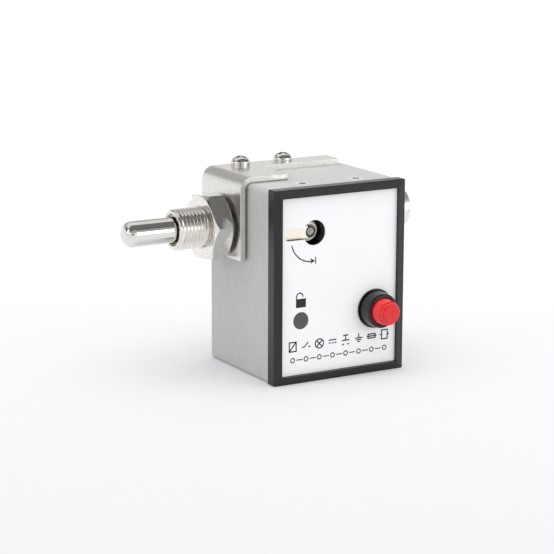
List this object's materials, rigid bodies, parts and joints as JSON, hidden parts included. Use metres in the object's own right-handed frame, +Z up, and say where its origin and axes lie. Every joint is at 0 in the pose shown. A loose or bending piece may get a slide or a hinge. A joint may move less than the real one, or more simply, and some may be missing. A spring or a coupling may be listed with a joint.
{
  "type": "electromagnetic lock",
  "caption": "Cabinet lock: grey box, black bezel with white panel, threaded guide sleeve with nut, sprung bolt, folded bracket, key slot with lever, indicator and red push button.",
  "frame": {"origin": "middle of the bottom face, midway across the width and between front rim and back wall", "axes": "+X along the bolt, from its nose towards the end plug; -Y is the label side; +Z up"},
  "size_m": [0.1252, 0.0632, 0.0807],
  "materials": {
    "grey_paint": "semi-matt light grey paint",
    "black_plastic": "semi-matt moulded plastic",
    "white_label": "matt white printed plate",
    "nickel_plate": "nickel plated sheet, lightly brushed",
    "nickel_thread": "nickel plated, turned",
    "nickel_nut": "nickel plated, cold formed",
    "nickel_lever": "nickel plated casting",
    "bright_screw": "bright nickel plate",
    "polished_bolt": "ground and polished",
    "plain_steel": "zinc plated",
    "grey_post": "rough turned end",
    "brass": "turned",
    "bobbin_plastic": "natural nylon",
    "coil_tape": "wrapped insulating tape",
    "black_gloss": "glossy moulded plastic",
    "red_plastic": "satin moulded plastic",
    "grey_lens": "dark unlit lens",
    "led_resin": "tinted resin",
    "green_board": "solder mask",
    "blue_can": "shrink sleeve",
    "green_plastic": "moulded",
    "resistor_body": "lacquered",
    "grommet_rubber": "matt"
  },
  "bodies": {
    "lock_body": {"housing": "grey_paint", "front_bezel": "black_plastic", "label_plate": "white_label", "mounting_bracket": "nickel_plate", "bracket_screws": "bright_screw", "nut_strip": "plain_steel", "housing_screws": "bright_screw", "threaded_sleeve": "nickel_thread", "lock_nut": "nickel_nut", "solenoid_frame": "plain_steel", "coil_bobbin": "bobbin_plastic", "coil_winding": "coil_tape", "fixed_core": "plain_steel", "rear_sleeve": "nickel_nut", "end_plug": "nickel_nut", "mechanism_plate": "plain_steel", "pivot_post": "grey_post", "plate_screws": "bright_screw", "board_screws": "bright_screw", "button_body": "black_gloss", "button_nut": "nickel_nut", "button_contacts": "brass", "button_spring": "plain_steel", "return_spring": "plain_steel", "indicator_lens": "grey_lens", "indicator_led": "led_resin", "circuit_board": "green_board", "relay": "black_plastic", "capacitor": "blue_can", "terminal_block": "green_plastic", "resistors": "resistor_body", "cable_grommet": "grommet_rubber"},
    "bolt": {"bolt_pin": "polished_bolt", "release_arm": "plain_steel", "plunger": "plain_steel", "tail_rod": "brass"},
    "lever": {"key_lever": "nickel_lever", "drive_pin": "plain_steel"},
    "button": {"button_cap": "red_plastic"}
  },
  "joints": [
    {"name": "bolt_slide", "type": "slide", "parent": "lock_body", "child": "bolt", "axis": [1, 0, 0], "range_m": [0, 0.012], "stiffness_N_per_m": 250, "springref_m": -0.01, "deforming": ["return_spring"]},
    {"name": "key_turn", "type": "hinge", "parent": "lock_body", "child": "lever", "pos_m": [-0.0112, -0.0187, 0.0577], "axis": [0, -1, 0], "range_deg": [0, 90]},
    {"name": "button_press", "type": "slide", "parent": "lock_body", "child": "button", "axis": [0, 1, 0], "range_m": [0, 0.003], "stiffness_N_per_m": 400, "springref_m": -0.002, "deforming": ["button_spring"]}
  ],
  "couplings": [
    {"joint": "key_turn", "follows": "bolt_slide", "rad_per_m": 130.89}
  ]
}
